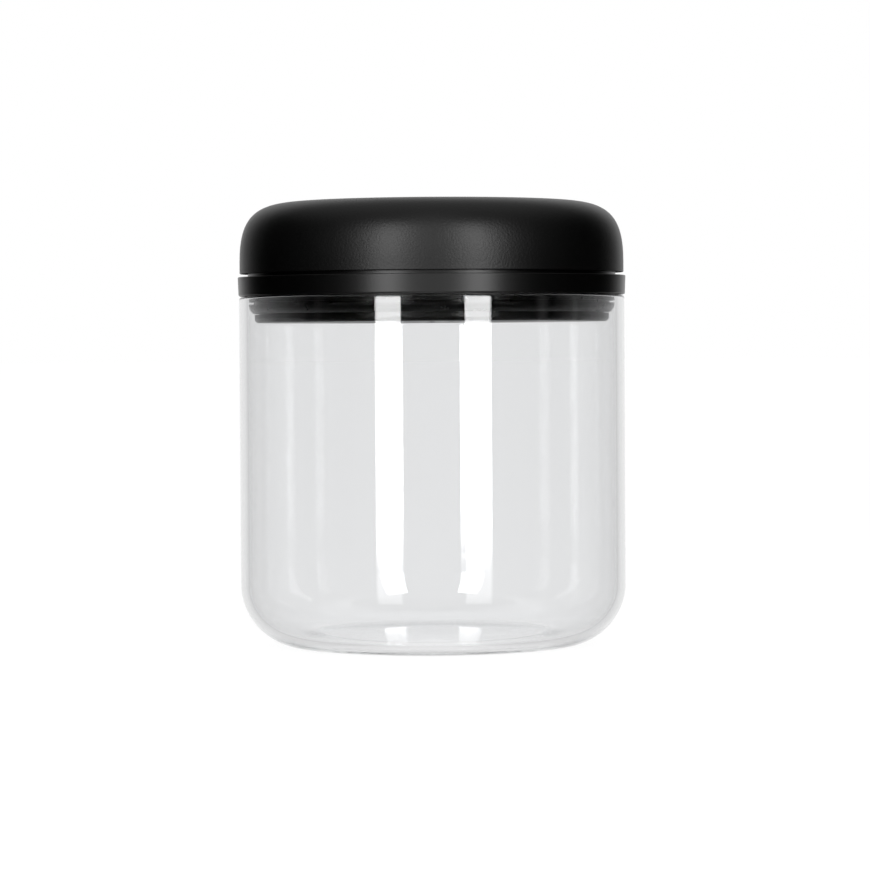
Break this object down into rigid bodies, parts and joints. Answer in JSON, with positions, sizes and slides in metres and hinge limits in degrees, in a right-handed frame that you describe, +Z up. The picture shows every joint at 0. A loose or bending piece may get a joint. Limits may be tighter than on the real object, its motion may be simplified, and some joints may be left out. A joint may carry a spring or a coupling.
{
  "type": "vacuum seal canister",
  "caption": "Clear glass storage jar with a wide matte black twist pump lid that draws the air out, a release button and a vacuum indicator.",
  "frame": {"origin": "centre of the ring that the jar stands on", "axes": "+Z up along the jar's axis, -Y towards the viewer in the picture"},
  "size_m": [0.1094, 0.1094, 0.1255],
  "materials": {
    "clear_glass": "fire polished",
    "black_shell": "fine moulded texture",
    "black_chassis": "satin moulded",
    "black_rubber": "matt silicone",
    "grey_rubber": "translucent silicone",
    "white_acetal": "satin, self lubricating",
    "grey_plastic": "glass filled",
    "steel": "zinc plated",
    "spring_steel": "bright drawn",
    "green_plastic": "satin",
    "felt": "needled felt"
  },
  "bodies": {
    "jar": {"glass_jar": "clear_glass"},
    "lid": {"lid_chassis": "black_chassis", "rim_gasket": "black_rubber", "plug_cover": "black_chassis", "cover_screws": "steel", "intake_filter": "felt", "inlet_valve": "grey_rubber", "glide_ring": "white_acetal"},
    "cap": {"twist_cap": "black_shell", "cam_ring": "white_acetal", "cam_screws": "steel"},
    "pump": {"piston": "grey_plastic", "piston_seal": "grey_rubber", "piston_inner_seal": "grey_rubber", "exhaust_valve": "grey_rubber", "follower_pins": "steel"},
    "button": {"release_button": "black_chassis", "release_stem": "grey_plastic", "release_poppet": "grey_plastic", "release_seal": "grey_rubber", "button_spring": "spring_steel", "indicator_diaphragm": "grey_rubber", "indicator_spring": "spring_steel"},
    "indicator": {"indicator_pin": "green_plastic"}
  },
  "joints": [
    {"name": "lid_lift", "type": "slide", "parent": "jar", "child": "lid", "axis": [0, 0, 1], "range_m": [0, 0.06]},
    {"name": "cap_twist", "type": "hinge", "parent": "lid", "child": "cap", "pos_m": [0, 0, 0.112], "axis": [0, 0, 1], "range_deg": [0, 80]},
    {"name": "piston_stroke", "type": "slide", "parent": "lid", "child": "pump", "axis": [0, 0, 1], "range_m": [0, 0.006]},
    {"name": "button_press", "type": "slide", "parent": "lid", "child": "button", "axis": [0, 0, 1], "range_m": [-0.0025, 0], "stiffness_N_per_m": 800, "springref_m": 0.003, "deforming": ["button_spring"]},
    {"name": "indicator_drop", "type": "slide", "parent": "button", "child": "indicator", "axis": [0, 0, 1], "range_m": [-0.0015, 0], "stiffness_N_per_m": 200, "springref_m": 0.001, "deforming": ["indicator_spring", "indicator_diaphragm"]}
  ],
  "couplings": [
    {"joint": "piston_stroke", "follows": "cap_twist", "m_per_rad": 0.004297}
  ]
}
